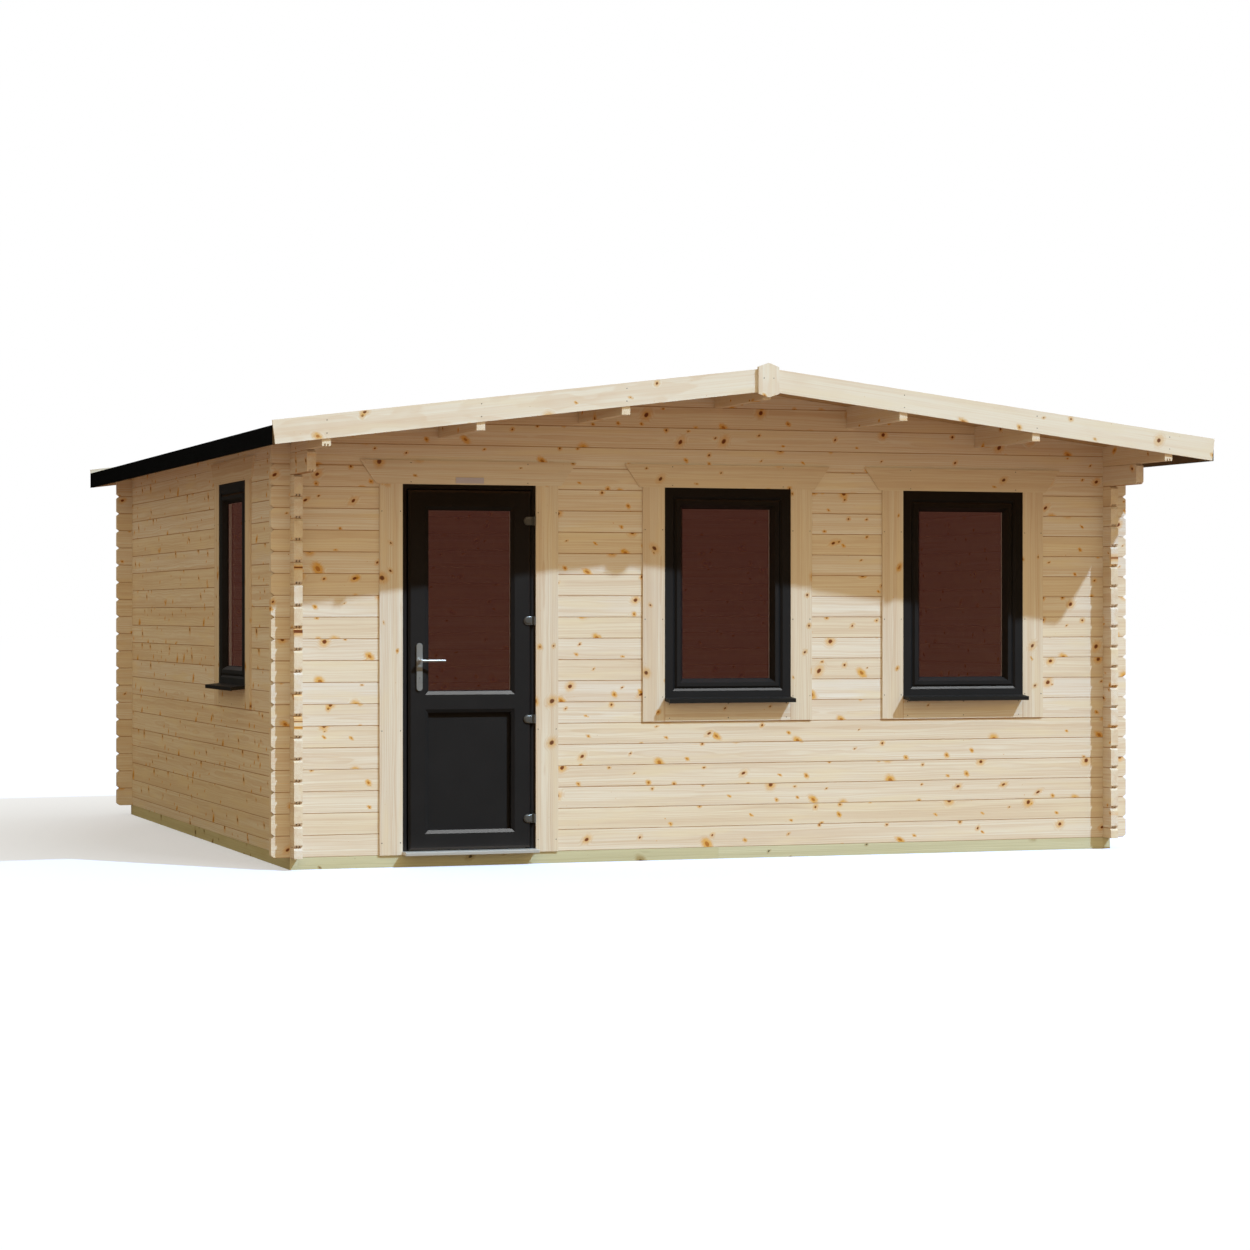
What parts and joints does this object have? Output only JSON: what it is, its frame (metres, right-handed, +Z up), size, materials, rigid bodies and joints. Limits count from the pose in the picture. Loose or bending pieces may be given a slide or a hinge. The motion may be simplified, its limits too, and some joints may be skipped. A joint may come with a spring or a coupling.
{
  "type": "log cabin",
  "caption": "Gable-fronted garden log cabin of interlocking pine logs with a low felt roof, a half-glazed hinged door and fixed black-framed windows.",
  "frame": {"origin": "on the ground, in the middle of the whole building's outline", "axes": "+X to the right along the gable front, as seen from outside, +Y from the front to the back along the ridge, +Z up"},
  "size_m": [5.27, 5.71, 2.6467],
  "materials": {
    "pine_logs": "planed, unpainted",
    "pine_trim": "planed, unpainted",
    "pine_boards": "planed, unpainted",
    "treated_pine": "rough, pressure treated",
    "roofing_felt": "mineral felt, matt",
    "black_upvc": "satin black",
    "dark_glass": "clear, over a dark room",
    "silver_metal": "satin anodised",
    "hinge_metal": "grey satin"
  },
  "bodies": {
    "root": {"bearers": "treated_pine", "floor_joists": "treated_pine", "floor_boards": "pine_boards", "front_wall_left": "pine_logs", "front_wall_low": "pine_logs", "front_wall_piers": "pine_logs", "front_wall_head": "pine_logs", "front_gable": "pine_logs", "left_wall_low": "pine_logs", "left_wall_piers": "pine_logs", "left_wall_head": "pine_logs", "right_wall": "pine_logs", "back_wall": "pine_logs", "back_gable": "pine_logs", "eaves_logs": "pine_logs", "purlins": "pine_logs", "roof_boards_left": "pine_boards", "roof_boards_right": "pine_boards", "roof_felt": "roofing_felt", "eaves_fascias": "pine_trim", "front_barge_boards": "pine_trim", "back_barge_boards": "pine_trim", "ridge_plaques": "pine_trim", "door_trim": "pine_trim", "door_name_plate": "silver_metal", "door_frame": "black_upvc", "door_threshold": "silver_metal", "hinge_posts": "hinge_metal", "front_window_trim": "pine_trim", "front_window_frames": "black_upvc", "front_window_sashes": "black_upvc", "front_window_glass": "dark_glass", "front_window_sills": "black_upvc", "side_window_trim": "pine_trim", "side_window_frame": "black_upvc", "side_window_sash": "black_upvc", "side_window_glass": "dark_glass", "side_window_sill": "black_upvc"},
    "door": {"door_leaf": "black_upvc", "door_glass": "dark_glass", "door_panel": "black_upvc", "hinge_flaps": "hinge_metal", "handle_plates": "silver_metal"},
    "lever": {"door_lever": "silver_metal"}
  },
  "joints": [
    {"name": "door_hinge", "type": "hinge", "parent": "root", "child": "door", "pos_m": [-1.054, -2.114, 1.0375], "axis": [0, 0, 1], "range_deg": [0, 100]},
    {"name": "lever_turn", "type": "hinge", "parent": "door", "child": "lever", "pos_m": [-1.687, -2.106, 1.088], "axis": [0, 1, 0], "range_deg": [0, 40], "stiffness_Nm_per_rad": 1.2, "springref_deg": -17.19}
  ]
}
